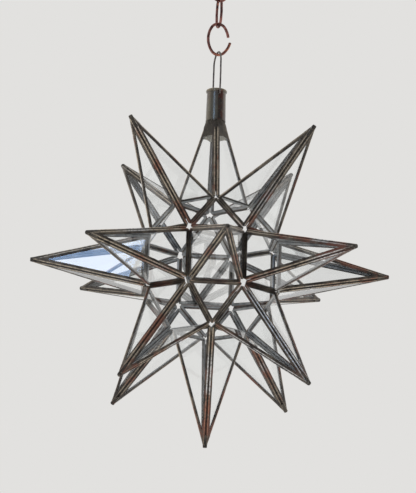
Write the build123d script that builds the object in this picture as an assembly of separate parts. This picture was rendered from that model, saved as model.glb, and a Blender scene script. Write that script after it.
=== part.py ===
from build123d import *
from itertools import combinations
import math
import os

# Moravian star pendant, in millimetres and degrees, +Z up, hung on its top chain link.
# The star is a 26-sided core whose 18 square faces each carry a four-sided glass point and whose
# 8 triangular faces are flat panes. Every pane is edged with folded sheet channel, and the framed
# panes are soldered to each other. The origin is the eye of the top link, where a hook holds it.

# ---- Driving dimensions ----

# Star
BASE_EDGE = 68.0           # side of a point's square base, and of a corner pane
POINT_HEIGHT = 158.0       # from a point's base to where its four faces would meet
TIP_END_WIDTH = 1.1        # width of each frame's sawn end, at a point's tip

# Framed panes
GLASS_THICKNESS = 2.0
SHEET = 0.3                # sheet that the channels and skirt panels are folded from
CHANNEL_DEPTH = 4.2        # how far a channel's legs reach over the glass
GLASS_EDGE_GAP = 0.4       # between a pane's edge and the bottom of its channel
CORNER_SNIP = 2.6          # how far a frame's corner is cut back, along its bisector
GLASS_SNIP = 3.6           # the same for the glass inside it
RIDGE_GAP = 0.05           # between two frames along a ridge

# Solder
SEAM_LEG = 2.0             # width of a seam fillet on each frame
SEAM_SETBACK = 9.0         # from the end of an edge to the end of its fillet
TIP_BUTTON_HEIGHT = 3.5
TIP_BUTTON_SHARE = 0.92    # width of a button's foot, as a share of the point's width there
TIP_BUTTON_TAPER = 20.0    # lean of a button's sides

# Neck
TUBE_BOTTOM_RADIUS = 12.9  # outside, at the skirt
TUBE_TOP_RADIUS = 12.3     # outside, under the rim
TUBE_WALL = 0.6
TUBE_LENGTH = 42.6
TUBE_SEAT_CLEARANCE = 0.1  # between the frames' corners and the tube's wall
FRAME_INSERTION = 3.0      # how far the top point's frames reach up into the tube
RIM_RADIUS = 13.7
RIM_HEIGHT = 4.0
RIM_CHAMFER = 1.1
SKIRT_DROP = 23.0          # from the tube's foot to the lower edge of the skirt
SKIRT_HOLLOW = 1.2         # how much the skirt's lower edge is hollowed
SKIRT_SLOT_DEPTH = 5.0     # slot for the glass in the skirt's lower edge
NECK_SOLDER_LIFT = 1.0     # from the tube's foot up to the solder
NECK_SOLDER_HEIGHT = 1.8

# Bail
BAIL_WIRE = 2.2
BAIL_HEIGHT = 60.0         # from the holes to the middle of the wire at the top
BAIL_RIM_CLEARANCE = 0.4
BAIL_BEND_RADIUS = 1.9
BAIL_END_INSIDE = 2.5      # how far its ends reach into the tube
BAIL_HOLE_CLEARANCE = 0.1  # radial
BAIL_HOLE_DROP = 8.0       # from the top of the rim to the holes
BAIL_AZIMUTH = 12.5        # turn of the bail about the neck, from the front towards +X

# Ring and chain
RING_WIRE = 3.7
RING_WIDTH = 31.2          # outside
RING_LENGTH = 46.3         # outside
RING_END_RADIUS = 10.5     # middle of the wire, at the ring's top and foot
RING_GAP_TOP = 4.2         # upper end of the gap, above the ring's middle
RING_GAP_FOOT = -2.8       # lower end of the gap
RING_SPRING_ANGLE = 14.0   # how far round its foot arc stops short, so that the lower end springs out
LINK_WIRE = 3.5
LINK_WIDTH = 24.0          # outside
LINK_LENGTH = 43.0         # outside
LINK_END_RADIUS = 9.0      # middle of the wire, at a link's ends
LINK_GAP = 0.3             # between one wire and the next

# ---- Sizes that follow ----

CHANNEL_THICKNESS = GLASS_THICKNESS + 2 * SHEET
HALF_EDGE = BASE_EDGE / 2
SQUARE_FACE_DISTANCE = HALF_EDGE * (1 + math.sqrt(2))
TRIANGLE_FACE_DISTANCE = BASE_EDGE * (3 + math.sqrt(2)) / (2 * math.sqrt(3))
TRIANGLE_ELEVATION = math.degrees(math.atan(1 / math.sqrt(2)))
TRIANGLE_HEIGHT = BASE_EDGE * math.sqrt(3) / 2
SLANT_HEIGHT = math.hypot(POINT_HEIGHT, HALF_EDGE)
POINT_SLOPE = HALF_EDGE / POINT_HEIGHT
RIDGE_ANGLE = 180 - math.degrees(math.acos((HALF_EDGE / SLANT_HEIGHT) ** 2))
RIDGE_INSET = CHANNEL_THICKNESS / math.tan(math.radians(RIDGE_ANGLE / 2)) + RIDGE_GAP

# A point is sawn off level, a little under the corner where the two sides of each frame would meet.
FRAME_CORNER = SLANT_HEIGHT - RIDGE_INSET * math.hypot(SLANT_HEIGHT, HALF_EDGE) / HALF_EDGE
TIP_SLANT = FRAME_CORNER - TIP_END_WIDTH / 2 * SLANT_HEIGHT / HALF_EDGE
TIP_HEIGHT = TIP_SLANT * POINT_HEIGHT / SLANT_HEIGHT           # above the point's base

# The tube slides down over the top point's frames until their corners meet its wall.
TUBE_SEAT_RADIUS = TUBE_BOTTOM_RADIUS - TUBE_WALL - TUBE_SEAT_CLEARANCE
RIDGE_INSET_LEVEL = RIDGE_INSET * SLANT_HEIGHT / POINT_HEIGHT
SEAT_HALF_WIDTH = (RIDGE_INSET_LEVEL + math.sqrt(2 * TUBE_SEAT_RADIUS**2 - RIDGE_INSET_LEVEL**2)) / 2
TUBE_FOOT = POINT_HEIGHT - SEAT_HALF_WIDTH / POINT_SLOPE       # above the top point's base
TUBE_FOOT_Z = SQUARE_FACE_DISTANCE + TUBE_FOOT                 # above the star's centre
RIM_Z = TUBE_FOOT_Z + TUBE_LENGTH
BAIL_HOLE_Z = RIM_Z - BAIL_HOLE_DROP

BAIL_REACH = RIM_RADIUS + BAIL_RIM_CLEARANCE + BAIL_WIRE / 2   # from the neck's axis to each leg
BAIL_TOP_Z = BAIL_HOLE_Z + BAIL_HEIGHT
RING_HALF_LENGTH = (RING_LENGTH - RING_WIRE) / 2
RING_HALF_WIDTH = (RING_WIDTH - RING_WIRE) / 2
LINK_HALF_LENGTH = (LINK_LENGTH - LINK_WIRE) / 2
LINK_HALF_WIDTH = (LINK_WIDTH - LINK_WIRE) / 2
RING_Z = BAIL_TOP_Z - BAIL_WIRE / 2 - LINK_GAP - RING_WIRE / 2 + RING_HALF_LENGTH
LINK_1_Z = RING_Z + RING_HALF_LENGTH - RING_WIRE / 2 - LINK_GAP - LINK_WIRE / 2 + LINK_HALF_LENGTH
LINK_2_Z = LINK_1_Z + 2 * LINK_HALF_LENGTH - LINK_WIRE - LINK_GAP
STAR_DROP = LINK_2_Z + LINK_HALF_LENGTH - LINK_WIRE / 2        # from the eye to the star's centre


# ---- Outlines and plates ----

def edge_line(start, end, inset):
    """A point and a direction on one side of an outline, moved inwards. Outlines run anticlockwise."""
    along = (end - start).normalized()
    return start + Vector(-along.Y, along.X) * inset, along


def meeting_point(line_a, line_b):
    (p, d), (q, e) = line_a, line_b
    return p + d * ((q - p).X * e.Y - (q - p).Y * e.X) * (1 / (d.X * e.Y - d.Y * e.X))


def inset_outline(outline, insets):
    """The outline with each side moved inwards by its own inset. Side i runs from corner i."""
    sides = [edge_line(p, q, inset) for p, q, inset in zip(outline, outline[1:] + outline[:1], insets)]
    return [meeting_point(sides[i - 1], sides[i]) for i in range(len(sides))]


def snip(outline, point, keep):
    """The part of an outline on the side of a line through point that the vector keep points to."""
    kept = []
    for p, q in zip(outline, outline[1:] + outline[:1]):
        height_p, height_q = (p - point).dot(keep), (q - point).dot(keep)
        if height_p >= 0:
            kept.append(p)
        if height_p * height_q < 0:
            kept.append(p + (q - p) * (height_p / (height_p - height_q)))
    return kept


def snip_corner(outline, frame, corner, distance):
    """The outline with one corner of the frame cut off, square to its bisector."""
    tip = frame[corner]
    to_last = (frame[corner - 1] - tip).normalized()
    to_next = (frame[(corner + 1) % len(frame)] - tip).normalized()
    bisector = (to_last + to_next).normalized()
    return snip(outline, tip + bisector * distance, bisector)


def plate(outline, thickness, depth=0.0):
    """A flat plate with its outer face at -depth, reaching inwards along -Z."""
    face = make_face(Polyline(*outline, close=True))
    return Pos(0, 0, -depth) * extrude(face, -thickness)


def framed_pane(outline, insets, snipped_corners, open_sides=()):
    """The glass plate of one pane and the channels along its sides, mitred at the corners."""
    frame = inset_outline(outline, insets)
    inner = inset_outline(frame, [CHANNEL_DEPTH] * len(frame))
    slot = plate(inset_outline(frame, [SHEET] * len(frame)), GLASS_THICKNESS, SHEET)
    glass = inset_outline(frame, [SHEET + GLASS_EDGE_GAP] * len(frame))
    channels = []
    for corner in snipped_corners:
        glass = snip_corner(glass, frame, corner, GLASS_SNIP)
    for side in range(len(frame)):
        if side in open_sides:
            continue
        after = (side + 1) % len(frame)
        strip = [frame[side], frame[after], inner[after], inner[side]]
        for corner in snipped_corners:
            strip = snip_corner(strip, frame, corner, CORNER_SNIP)
        channels.append(plate(strip, CHANNEL_THICKNESS) - slot)
    return plate(glass, GLASS_THICKNESS, SHEET), channels


# ---- Points and corner panes ----

FACET = Plane(origin=(0, -HALF_EDGE, 0), x_dir=(1, 0, 0), z_dir=(0, -POINT_HEIGHT, HALF_EDGE))
POINT_OUTLINE = [Vector(-HALF_EDGE, 0), Vector(HALF_EDGE, 0), Vector(0, SLANT_HEIGHT)]


def below(height):
    """A block that holds everything of a point up to a height over its base."""
    return Pos(0, 0, height - POINT_HEIGHT) * Box(2 * BASE_EDGE, 2 * BASE_EDGE, 2 * POINT_HEIGHT)


def four_faces(solids):
    """Copies of one face's solids on all four faces of a point."""
    return [Rot(0, 0, 90 * quarter) * solid for quarter in range(4) for solid in solids]


def point_pieces():
    """The four panes and twelve channels of a point, standing on the XY plane."""
    glass, channels = framed_pane(POINT_OUTLINE, [0, RIDGE_INSET, RIDGE_INSET], (0, 1))
    keep_channel = below(TIP_HEIGHT)
    keep_glass = below(TIP_HEIGHT - CHANNEL_DEPTH)
    channels = [(FACET.location * channel) & keep_channel for channel in channels]
    return four_faces([(FACET.location * glass) & keep_glass]), four_faces(channels)


def slant(height):
    """Distance up a face for a height over its base."""
    return height * SLANT_HEIGHT / POINT_HEIGHT


def top_point_pieces():
    """The top point's panes, its channels, and the skirt panels that close it under the tube."""
    glass, channels = framed_pane(POINT_OUTLINE, [0, RIDGE_INSET, RIDGE_INSET], (0, 1))
    frame_top = TUBE_FOOT + FRAME_INSERTION
    skirt_foot = slant(TUBE_FOOT - SKIRT_DROP)
    slot_top = skirt_foot + SKIRT_SLOT_DEPTH
    glass = glass & plate([Vector(-BASE_EDGE, 0), Vector(BASE_EDGE, 0),
                           Vector(BASE_EDGE, slot_top - GLASS_EDGE_GAP),
                           Vector(-BASE_EDGE, slot_top - GLASS_EDGE_GAP)], CHANNEL_THICKNESS)
    inner = inset_outline(POINT_OUTLINE, [CHANNEL_DEPTH] + [RIDGE_INSET + CHANNEL_DEPTH] * 2)
    lower_left = meeting_point(edge_line(inner[2], inner[0], 0), (Vector(0, skirt_foot), Vector(1, 0)))
    lower_right = Vector(-lower_left.X, lower_left.Y)
    panel_face = make_face(Curve() + [
        ThreePointArc(lower_left, (0, skirt_foot + SKIRT_HOLLOW), lower_right),
        Line(lower_right, inner[2]),
        Line(inner[2], lower_left),
    ])
    panel = extrude(panel_face, -CHANNEL_THICKNESS)
    panel -= plate([Vector(-BASE_EDGE, 0), Vector(BASE_EDGE, 0), Vector(BASE_EDGE, slot_top),
                    Vector(-BASE_EDGE, slot_top)], GLASS_THICKNESS, SHEET)
    keep = below(frame_top)
    channels = [(FACET.location * channel) & keep for channel in channels]
    return (four_faces([FACET.location * glass]), four_faces(channels),
            four_faces([(FACET.location * panel) & keep]))


def corner_pieces():
    """One flat corner pane and its three channels."""
    third = TRIANGLE_HEIGHT / 3
    outline = [Vector(-HALF_EDGE, -third), Vector(HALF_EDGE, -third), Vector(0, 2 * third)]
    glass, channels = framed_pane(outline, [0, 0, 0], (0, 1, 2))
    return [glass], channels


def face_plane(azimuth, elevation, distance, upside_down=False):
    """A plane on a face of the core. Azimuth 0 is the front, -Y, and 90 is +X."""
    turn, lift = math.radians(azimuth), math.radians(elevation)
    outwards = Vector(math.cos(lift) * math.sin(turn), -math.cos(lift) * math.cos(turn), math.sin(lift))
    level = Vector(math.cos(turn), math.sin(turn), 0)
    return Plane(origin=outwards * distance, x_dir=-level if upside_down else level, z_dir=outwards)


# The belt's points stand an eighth of a turn apart. The leaning points are over and under every
# second one, and the corner panes are over and under the others.
BELT = ("front", "front_right", "right", "back_right", "back", "back_left", "left", "front_left")
CORNERS = [360 * quarter / 4 for quarter in range(4)]

point_planes = {f"{side}_point": face_plane(360 * eighth / 8, 0, SQUARE_FACE_DISTANCE)
                for eighth, side in enumerate(BELT)}
for eighth in (1, 3, 5, 7):
    azimuth = 360 * eighth / 8
    point_planes[f"upper_{BELT[eighth]}_point"] = face_plane(azimuth, 45, SQUARE_FACE_DISTANCE)
    point_planes[f"lower_{BELT[eighth]}_point"] = face_plane(azimuth, -45, SQUARE_FACE_DISTANCE)
point_planes["bottom_point"] = face_plane(45, -90, SQUARE_FACE_DISTANCE)
top_plane = face_plane(45, 90, SQUARE_FACE_DISTANCE)
corner_planes = {
    "upper_corner": [face_plane(azimuth, TRIANGLE_ELEVATION, TRIANGLE_FACE_DISTANCE)
                     for azimuth in CORNERS],
    "lower_corner": [face_plane(azimuth, -TRIANGLE_ELEVATION, TRIANGLE_FACE_DISTANCE, upside_down=True)
                     for azimuth in CORNERS],
}


# ---- Solder ----

def frustum(foot_half_width, top_half_width, foot, top):
    """A square block that narrows from foot to top."""
    return loft([Pos(0, 0, foot) * Rectangle(2 * foot_half_width, 2 * foot_half_width),
                 Pos(0, 0, top) * Rectangle(2 * top_half_width, 2 * top_half_width)])


def base_edges():
    """The plane of each frame at each of its base edges: X along the edge, Z outwards."""
    for plane in [*point_planes.values(), top_plane]:
        for quarter in range(4):
            yield Plane(plane.location * Rot(0, 0, 90 * quarter) * FACET.location)
    for plane in corner_planes["upper_corner"] + corner_planes["lower_corner"]:
        for turn in (0, 120, 240):
            yield Plane(plane.location * Rot(0, 0, turn) * Pos(0, -TRIANGLE_HEIGHT / 3, 0))


def seam_fillets():
    """A fillet behind each edge where two frames meet, in the wedge between their outer webs."""
    length = BASE_EDGE - 2 * SEAM_SETBACK
    fillets = []
    for frame, neighbour in combinations(base_edges(), 2):
        if (frame.origin - neighbour.origin).length > SEAM_LEG / 2:
            continue
        start = frame.origin - frame.x_dir * (length / 2)
        wedge = make_face(Polyline(start, start - frame.z_dir * SEAM_LEG,
                                   start - neighbour.z_dir * SEAM_LEG, close=True))
        fillets.append(extrude(wedge, length, dir=frame.x_dir).solid())
    return fillets


def tip_button():
    """The solder that closes a point's sawn tip."""
    half_width = (POINT_HEIGHT - TIP_HEIGHT) * POINT_SLOPE * TIP_BUTTON_SHARE
    top_half_width = half_width - TIP_BUTTON_HEIGHT * math.tan(math.radians(TIP_BUTTON_TAPER))
    return frustum(half_width, top_half_width, TIP_HEIGHT, TIP_HEIGHT + TIP_BUTTON_HEIGHT)


# ---- Neck ----

def tube_radius(height):
    """Outside radius of the tube's plain wall at a height over its foot."""
    taper = (TUBE_TOP_RADIUS - TUBE_BOTTOM_RADIUS) / (TUBE_LENGTH - RIM_HEIGHT)
    return TUBE_BOTTOM_RADIUS + taper * height


def neck_tube():
    """The rolled tube with its rim and the two holes for the bail."""
    plain = TUBE_LENGTH - RIM_HEIGHT
    bore = TUBE_TOP_RADIUS - TUBE_WALL
    profile = Polyline((TUBE_BOTTOM_RADIUS - TUBE_WALL, 0), (TUBE_BOTTOM_RADIUS, 0),
                       (TUBE_TOP_RADIUS, plain), (RIM_RADIUS, plain + RIM_CHAMFER),
                       (RIM_RADIUS, TUBE_LENGTH - RIM_CHAMFER),
                       (RIM_RADIUS - RIM_CHAMFER, TUBE_LENGTH), (bore + TUBE_WALL, TUBE_LENGTH),
                       (bore, TUBE_LENGTH - TUBE_WALL), (bore, plain), close=True)
    tube = revolve(make_face(Plane.XZ * profile), Axis.Z)
    holes = (Pos(0, 0, TUBE_LENGTH - BAIL_HOLE_DROP) * Rot(0, 0, BAIL_AZIMUTH) * Rot(90, 0, 0)
             * Cylinder(BAIL_WIRE / 2 + BAIL_HOLE_CLEARANCE, 4 * RIM_RADIUS))
    return Pos(0, 0, TUBE_FOOT_Z) * (tube - holes).solid()


def neck_solder():
    """Four fillets between the tube's wall and the flat faces of the top point."""
    foot, top = NECK_SOLDER_LIFT, NECK_SOLDER_LIFT + NECK_SOLDER_HEIGHT
    filling = Pos(0, 0, TUBE_FOOT + (foot + top) / 2) * Cone(
        tube_radius(foot) - TUBE_WALL, tube_radius(top) - TUBE_WALL, top - foot)
    point_top = TUBE_FOOT + TUBE_LENGTH / 2
    point = frustum(HALF_EDGE, (POINT_HEIGHT - point_top) * POINT_SLOPE, 0, point_top)
    return [top_plane.location * fillet for fillet in (filling - point).solids()]


# ---- Bail, ring and chain ----

def bent_wire(diameter, pieces):
    """A round wire along lines and arcs drawn on the XY plane, then stood up on the XZ plane."""
    path = Wire(pieces)
    section = Plane(origin=path @ 0, z_dir=path % 0) * Circle(diameter / 2)
    return Rot(90, 0, 0) * sweep(section, path=path).solid()


def arc(centre, radius, start, end):
    """An arc from one angle to another, anticlockwise."""
    return CenterArc(centre, radius, start, end - start)


def oval(half_width, half_length, end_radius):
    """The radius of an oval's side arcs, and the angle where they meet its end arcs."""
    end_centre = half_length - end_radius
    side_radius = (half_width**2 + end_centre**2 - end_radius**2) / (2 * (half_width - end_radius))
    return side_radius, math.degrees(math.atan2(end_centre, side_radius - half_width))


def bail():
    """The bail, with the axis of its turned-in ends at the origin."""
    end = tube_radius(TUBE_LENGTH - BAIL_HOLE_DROP) - TUBE_WALL - BAIL_END_INSIDE
    reach, bend, arch = BAIL_REACH, BAIL_BEND_RADIUS, BAIL_HEIGHT - BAIL_REACH
    return bent_wire(BAIL_WIRE, [
        Line((end, 0), (reach - bend, 0)),
        arc((reach - bend, bend), bend, -90, 0),
        Line((reach, bend), (reach, arch)),
        arc((0, arch), reach, 0, 180),
        Line((-reach, arch), (-reach, bend)),
        arc((bend - reach, bend), bend, 180, 270),
        Line((bend - reach, 0), (-end, 0)),
    ])


def ring():
    """The open ring, with its middle at the origin and its gap at +X."""
    side_radius, join = oval(RING_HALF_WIDTH, RING_HALF_LENGTH, RING_END_RADIUS)
    side_centre = side_radius - RING_HALF_WIDTH
    end_centre = RING_HALF_LENGTH - RING_END_RADIUS
    gap_angle = math.degrees(math.asin(RING_GAP_TOP / side_radius))
    sprung = -join - RING_SPRING_ANGLE
    across, up = math.cos(math.radians(sprung)), math.sin(math.radians(sprung))
    sprung_centre = (-(side_radius - RING_END_RADIUS) * across,
                     -end_centre - (side_radius - RING_END_RADIUS) * up)
    sprung_end = math.degrees(math.asin((RING_GAP_FOOT - sprung_centre[1]) / side_radius))
    return bent_wire(RING_WIRE, [
        arc((-side_centre, 0), side_radius, gap_angle, join),
        arc((0, end_centre), RING_END_RADIUS, join, 180 - join),
        arc((side_centre, 0), side_radius, 180 - join, 180 + join),
        arc((0, -end_centre), RING_END_RADIUS, 180 + join, 360 + sprung),
        arc(sprung_centre, side_radius, sprung, sprung_end),
    ])


def link():
    """A closed chain link, with its middle at the origin."""
    side_radius, join = oval(LINK_HALF_WIDTH, LINK_HALF_LENGTH, LINK_END_RADIUS)
    side_centre = side_radius - LINK_HALF_WIDTH
    end_centre = LINK_HALF_LENGTH - LINK_END_RADIUS
    return bent_wire(LINK_WIRE, [
        arc((-side_centre, 0), side_radius, -join, join),
        arc((0, end_centre), LINK_END_RADIUS, join, 180 - join),
        arc((side_centre, 0), side_radius, 180 - join, 180 + join),
        arc((0, -end_centre), LINK_END_RADIUS, 180 + join, 360 - join),
    ])


# ---- The nodes, placed about the star's centre ----

nodes = {}
point_glass, point_channels = point_pieces()
for name, plane in point_planes.items():
    nodes[f"{name}_glass"] = [plane.location * solid for solid in point_glass]
    nodes[f"{name}_came"] = [plane.location * solid for solid in point_channels]

top_glass, top_channels, skirt_panels = top_point_pieces()
nodes["top_point_glass"] = [top_plane.location * solid for solid in top_glass]
nodes["top_point_came"] = [top_plane.location * solid for solid in top_channels]
nodes["neck_skirt"] = [top_plane.location * solid for solid in skirt_panels]

corner_glass, corner_channels = corner_pieces()
for name, planes in corner_planes.items():
    nodes[f"{name}_glass"] = [plane.location * solid for plane in planes for solid in corner_glass]
    nodes[f"{name}_came"] = [plane.location * solid for plane in planes for solid in corner_channels]

nodes["tip_solder"] = [plane.location * tip_button() for plane in point_planes.values()]
nodes["seam_solder"] = seam_fillets()
nodes["neck_tube"] = [neck_tube()]
nodes["neck_solder"] = neck_solder()

# The bail and the lower link lie in one upright plane, the ring and the top link square to it.
front_to_back = Rot(0, 0, BAIL_AZIMUTH + 90)
side_to_side = Rot(0, 0, BAIL_AZIMUTH)
nodes["bail"] = [Pos(0, 0, BAIL_HOLE_Z) * front_to_back * bail()]
nodes["ring"] = [Pos(0, 0, RING_Z) * side_to_side * ring()]
nodes["link_1"] = [Pos(0, 0, LINK_1_Z) * front_to_back * link()]
nodes["link_2"] = [Pos(0, 0, LINK_2_Z) * side_to_side * link()]

os.makedirs("parts", exist_ok=True)
for name, solids in nodes.items():
    export_step(Compound([Pos(0, 0, -STAR_DROP) * solid for solid in solids]), f"parts/{name}.step")

heights = {"tube foot": TUBE_FOOT_Z, "bail holes": BAIL_HOLE_Z, "bail top": BAIL_TOP_Z, "ring": RING_Z,
           "lower link": LINK_1_Z, "top link": LINK_2_Z, "eye": STAR_DROP}
print("above the star's centre:", {name: round(height, 2) for name, height in heights.items()})
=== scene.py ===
import math
from itertools import combinations

import bmesh
import bpy
from mathutils import Matrix, Vector, noise


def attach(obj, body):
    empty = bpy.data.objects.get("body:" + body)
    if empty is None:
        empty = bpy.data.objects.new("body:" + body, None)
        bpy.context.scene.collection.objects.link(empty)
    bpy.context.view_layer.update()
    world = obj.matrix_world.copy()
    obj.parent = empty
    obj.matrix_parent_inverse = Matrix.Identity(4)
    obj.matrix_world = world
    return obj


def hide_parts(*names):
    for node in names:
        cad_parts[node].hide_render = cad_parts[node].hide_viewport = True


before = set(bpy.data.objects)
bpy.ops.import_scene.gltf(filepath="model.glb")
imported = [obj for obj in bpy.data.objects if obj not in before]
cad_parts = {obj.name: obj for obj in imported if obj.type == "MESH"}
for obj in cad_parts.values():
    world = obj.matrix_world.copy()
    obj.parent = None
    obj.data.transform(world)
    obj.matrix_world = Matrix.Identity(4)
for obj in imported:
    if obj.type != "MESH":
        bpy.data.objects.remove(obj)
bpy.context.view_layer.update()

scene = bpy.context.scene
mm = 0.001
noise.seed_set(1)        # the same ripples in every run


# ---- Camera ----
# It stands 2.5 m in front of the star and half a metre below its middle, and looks up at it through
# a long lens. Its roll gives the tilt at which the star hangs in the picture.

star_middle = Vector((0, 0, -397.92 * mm))
azimuth, elevation, roll = (math.radians(angle) for angle in (-4.3789, -13.3414, 1.9065))
back = Vector((math.sin(azimuth) * math.cos(elevation),
               -math.cos(azimuth) * math.cos(elevation),
               math.sin(elevation)))
right = Vector((math.cos(azimuth), math.sin(azimuth), 0))
up = back.cross(right)
distance, shift_left, shift_up = 2.46874, 0.00438, 0.02774
camera = bpy.data.objects.new("camera", bpy.data.cameras.new("camera"))
camera.data.lens = 141.874
camera.data.sensor_width = 36
camera.data.clip_start = 0.01
camera.matrix_world = (
    Matrix.Translation(star_middle + back * distance - right * shift_left + up * shift_up)
    @ Matrix.Rotation(roll, 4, back)
    @ Matrix((right, up, back)).transposed().to_4x4())
scene.collection.objects.link(camera)
scene.camera = camera


# ---- Room: a pale floor, a pale wall all round, and daylight ----
# The star hangs in a stairwell, 4.2 m over the floor. The wall's colour is what camera, metal and glass
# see. A soft lamp stands for the room's daylight, and a blue window shows only in what mirrors it.

class Socket:
    """One output of a finish's nodes. Arithmetic on it adds Math nodes."""

    def __init__(self, finish, output):
        self.finish = finish
        self.output = output

    def maths(self, operation, *values):
        return self.finish.node("Math", dict(enumerate(values)), operation=operation)

    def __add__(self, other):
        return self.maths("ADD", self, other)

    def __radd__(self, other):
        return self.maths("ADD", other, self)

    def __sub__(self, other):
        return self.maths("SUBTRACT", self, other)

    def __rsub__(self, other):
        return self.maths("SUBTRACT", other, self)

    def __mul__(self, other):
        return self.maths("MULTIPLY", self, other)

    def __rmul__(self, other):
        return self.maths("MULTIPLY", other, self)

    def __truediv__(self, other):
        return self.maths("DIVIDE", self, other)

    def __pow__(self, other):
        return self.maths("POWER", self, other)

    def __abs__(self):
        return self.maths("ABSOLUTE", self)

    def larger(self, other):
        return self.maths("MAXIMUM", self, other)

    def ramp(self, low, high):
        """0 below low, 1 above high, and a smooth slope between them. High may be the lower one."""
        inputs = {"Value": self, "From Min": low, "From Max": high}
        return self.finish.node("MapRange", inputs, interpolation_type="SMOOTHSTEP")

    def colours(self, none, full):
        """A colour that goes from none to full with this value."""
        return self.finish.node("Mix", {0: self, 6: none, 7: full}, output=2, data_type="RGBA")


class Finish:
    """The nodes of one material, or of the room's light."""

    def __init__(self, owner):
        owner.use_nodes = True
        self.owner = owner
        self.tree = owner.node_tree
        self.tree.nodes.clear()

    def node(self, kind, inputs=None, output=0, **settings):
        made = self.tree.nodes.new("ShaderNode" + kind)
        for setting, value in settings.items():
            setattr(made, setting, value)
        for key, value in (inputs or {}).items():
            if isinstance(value, Socket):
                self.tree.links.new(value.output, made.inputs[key])
            else:
                made.inputs[key].default_value = value
        return Socket(self, made.outputs[output])

    def show(self, surface):
        kind = "World" if isinstance(self.owner, bpy.types.World) else "Material"
        shown = self.tree.nodes.new("ShaderNodeOutput" + kind)
        self.tree.links.new(surface.output, shown.inputs["Surface"])
        return self.owner


def colour(red, green, blue):
    """A colour written as a screen shows it, from 0 to 255."""
    linear = [((value / 255 + 0.055) / 1.055) ** 2.4 for value in (red, green, blue)]
    return (*linear, 1)


wall_colour = colour(226, 225, 223)
world = bpy.data.worlds.new("room")
scene.world = world
room = Finish(world)
room_light = (0.84, 0.84, 0.83, 1)
# What metal and glass mirror is the pale wall behind the star, and a dimmer room in front of it.
depth = room.node("SeparateXYZ", {0: room.node("TexCoord", output="Generated")}, output="Y")
mirrored_room = depth.ramp(-0.5, 0.25).colours(colour(116, 121, 127), wall_colour)
room_colour = room.node("LightPath", output="Is Glossy Ray").colours(room_light, mirrored_room)
sees_wall = room.node("LightPath", output="Is Camera Ray").larger(
    room.node("LightPath", output="Is Transmission Ray"))
room_colour = sees_wall.colours(room_colour, wall_colour)
room.show(room.node("Background", {"Color": room_colour, "Strength": 1.0}))

floor_radius, floor_height = 30, -4.6
floor_mesh = bpy.data.meshes.new("floor")
bm = bmesh.new()
bmesh.ops.create_circle(bm, cap_ends=True, segments=96, radius=floor_radius,
                        matrix=Matrix.Translation((0, 0, floor_height)))
bm.to_mesh(floor_mesh)
bm.free()
floor = bpy.data.objects.new("floor", floor_mesh)
scene.collection.objects.link(floor)
pale_floor = Finish(bpy.data.materials.new("pale_floor"))
place = pale_floor.node("TexCoord", output="Object")
mottle = pale_floor.node("TexNoise", {"Vector": place, "Scale": 3.0, "Detail": 3.0})
floor_paint = mottle.colours(colour(224, 223, 220), colour(230, 229, 227))
painted = pale_floor.node("BsdfPrincipled", {"Base Color": floor_paint, "Roughness": 0.8})
mirrored_floor = pale_floor.node("Emission", {"Color": wall_colour})
floor_mesh.materials.append(pale_floor.show(pale_floor.node("MixShader", {
    0: pale_floor.node("LightPath", output="Is Glossy Ray"), 1: painted, 2: mirrored_floor})))


def lamp(name, direction, distance, width, height, radiance, tint):
    """A flat lamp that faces the star's middle, in a direction given as a turn and a lift in degrees.

    Its radiance is how bright its face looks.
    """
    data = bpy.data.lights.new(name, "AREA")
    data.shape = "RECTANGLE"
    data.size, data.size_y = width, height
    data.energy = radiance * math.pi * width * height
    data.color = tint
    made = bpy.data.objects.new(name, data)
    turn, lift = (math.radians(angle) for angle in direction)
    towards = Vector((math.sin(turn) * math.cos(lift), -math.cos(turn) * math.cos(lift), math.sin(lift)))
    made.matrix_world = (Matrix.Translation(star_middle + towards * distance)
                         @ towards.to_track_quat("Z", "Y").to_matrix().to_4x4())
    made.visible_camera = False
    scene.collection.objects.link(made)
    return made


daylight = lamp("daylight", direction=(-38, 40), distance=3.0, width=1.8, height=1.8, radiance=1.5,
                tint=(1.0, 0.98, 0.95))
daylight.visible_glossy = False
window = lamp("window", direction=(-27.2, 17.5), distance=2.6, width=0.46, height=0.62, radiance=5.0,
              tint=(0.38, 0.6, 1.0))
window.visible_diffuse = False
window.visible_transmission = False

# A look through the star crosses more than a dozen panes, and each pane is two surfaces.
scene.cycles.transparent_max_bounces = 64
scene.view_settings.view_transform = "Standard"


# ---- Glass panes ----
# 2 mm window glass, cut to a snug fit in its channels: clear, a little green, drawn slightly wavy,
# with a thin film of dust. Each pane is the plain plate that the frame has.

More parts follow.
